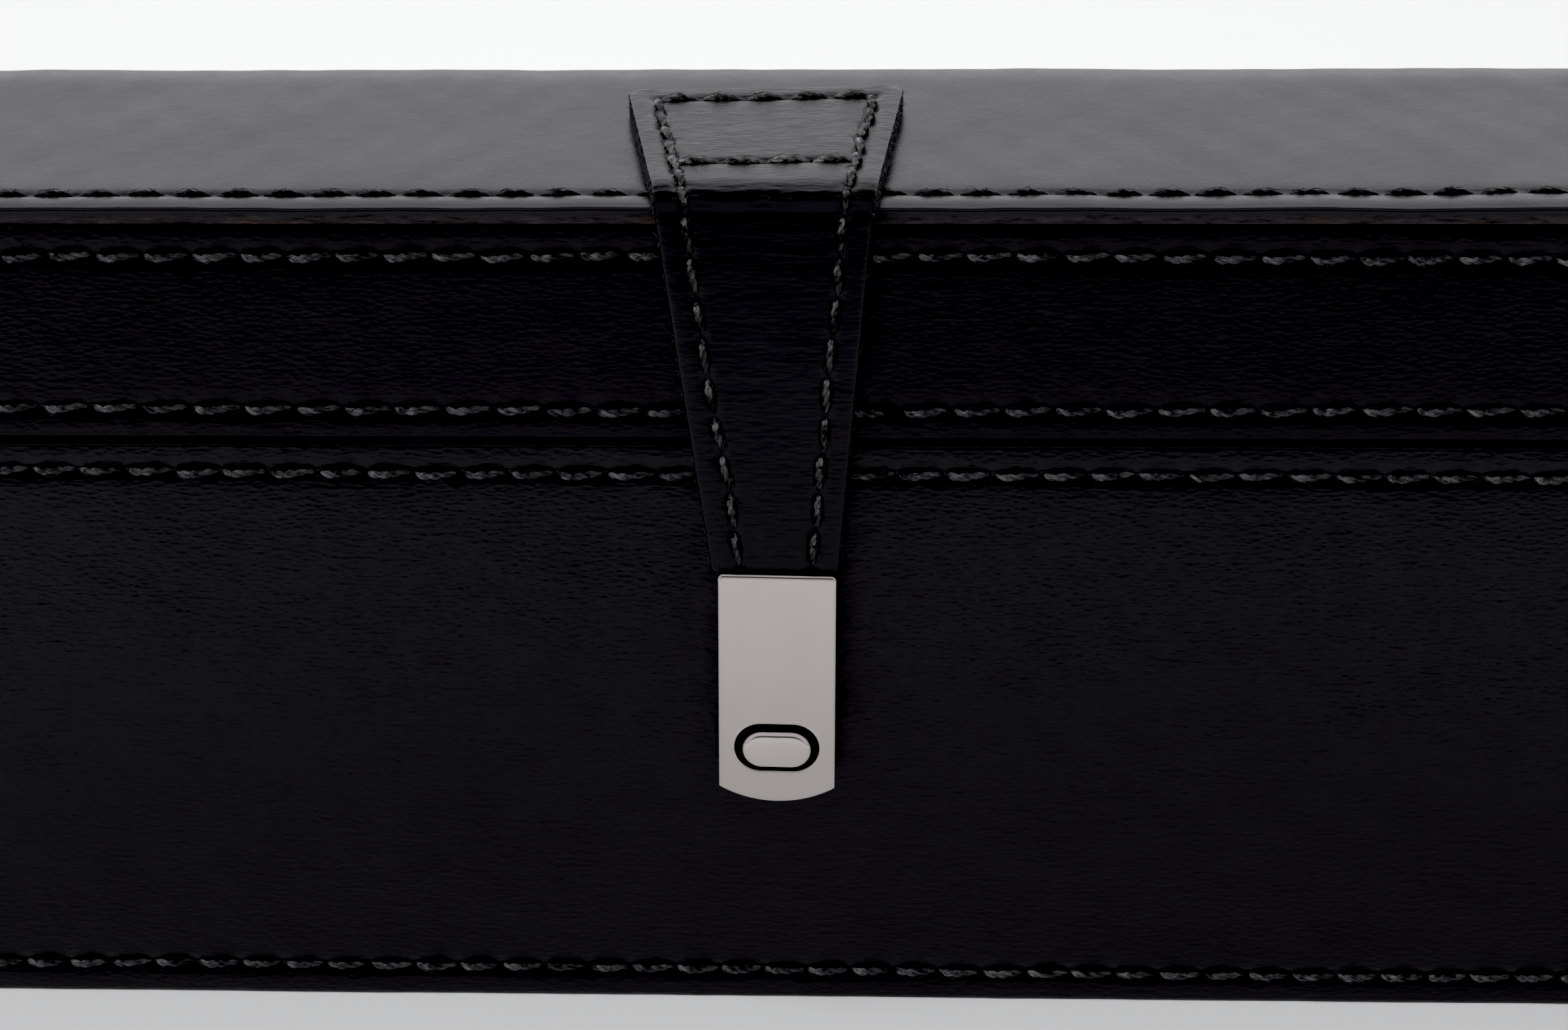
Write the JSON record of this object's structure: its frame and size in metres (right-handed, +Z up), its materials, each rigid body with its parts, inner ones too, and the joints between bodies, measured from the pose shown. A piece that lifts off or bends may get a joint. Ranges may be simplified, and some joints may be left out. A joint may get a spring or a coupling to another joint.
{
  "type": "poker chip case",
  "caption": "Upright black leather case with a hinged lid, held shut by a tapered strap with a push-button clasp; chip and card wells inside.",
  "frame": {"origin": "centre of the flat underside of the base", "axes": "+X along the length, +Y from the strap side to the hinge side, +Z up"},
  "size_m": [0.34, 0.0695, 0.128],
  "materials": {
    "black_leather": "glossy, fine pores",
    "strap_leather": "glossy, creased at the fold",
    "board": "raw",
    "suede": "napped",
    "nickel": "bright nickel plate",
    "steel": "plain"
  },
  "bodies": {
    "base": {"base_board_back": "board", "base_board_bottom": "board", "base_board_front": "board", "base_board_left": "board", "base_board_right": "board", "base_leather_back": "black_leather", "base_leather_bottom": "black_leather", "base_leather_front": "black_leather", "base_leather_left": "black_leather", "base_leather_right": "black_leather", "base_lining": "suede", "card_divider_left": "suede", "card_divider_right": "suede", "chip_flutes_back_left": "suede", "chip_flutes_back_right": "suede", "chip_flutes_front_left": "suede", "chip_flutes_front_right": "suede", "floor_pad": "suede", "hinge_left_base_leaf": "nickel", "hinge_left_base_screw_inner": "nickel", "hinge_left_base_screw_outer": "nickel", "hinge_left_pin": "steel", "hinge_right_base_leaf": "nickel", "hinge_right_base_screw_inner": "nickel", "hinge_right_base_screw_outer": "nickel", "hinge_right_pin": "steel", "keeper_plate": "nickel", "keeper_screw_lower": "nickel", "keeper_screw_upper": "nickel", "keeper_stud": "steel"},
    "lid": {"hinge_left_lid_leaf": "nickel", "hinge_left_lid_screw_inner": "nickel", "hinge_left_lid_screw_outer": "nickel", "hinge_right_lid_leaf": "nickel", "hinge_right_lid_screw_inner": "nickel", "hinge_right_lid_screw_outer": "nickel", "lid_board_back": "board", "lid_board_front": "board", "lid_board_left": "board", "lid_board_right": "board", "lid_board_top": "board", "lid_leather_back": "black_leather", "lid_leather_front": "black_leather", "lid_leather_left": "black_leather", "lid_leather_right": "black_leather", "lid_leather_top": "black_leather", "lid_lining": "suede", "lid_pad": "suede", "strap_anchor": "strap_leather", "strap_fold": "strap_leather"},
    "strap": {"catch_spring": "steel", "clasp_back_plate": "nickel", "clasp_plate": "nickel", "clasp_rivet_left": "nickel", "clasp_rivet_right": "nickel", "strap_inner_leather": "strap_leather", "strap_outer_leather": "strap_leather"},
    "push_button": {"push_button": "nickel"}
  },
  "joints": [
    {"name": "lid_hinge", "type": "hinge", "parent": "base", "child": "lid", "pos_m": [0, 0.0316, 0.0901], "axis": [-1, 0, 0], "range_deg": [0, 110]},
    {"name": "strap_swing", "type": "hinge", "parent": "lid", "child": "strap", "pos_m": [0, -0.03, 0.125], "axis": [-1, 0, 0], "range_deg": [0, 110], "deforming": ["strap_fold"]},
    {"name": "button_press", "type": "slide", "parent": "strap", "child": "push_button", "axis": [0, 1, 0], "range_m": [0, 0.0009], "stiffness_N_per_m": 800, "springref_m": -0.0015, "deforming": ["catch_spring"]}
  ]
}
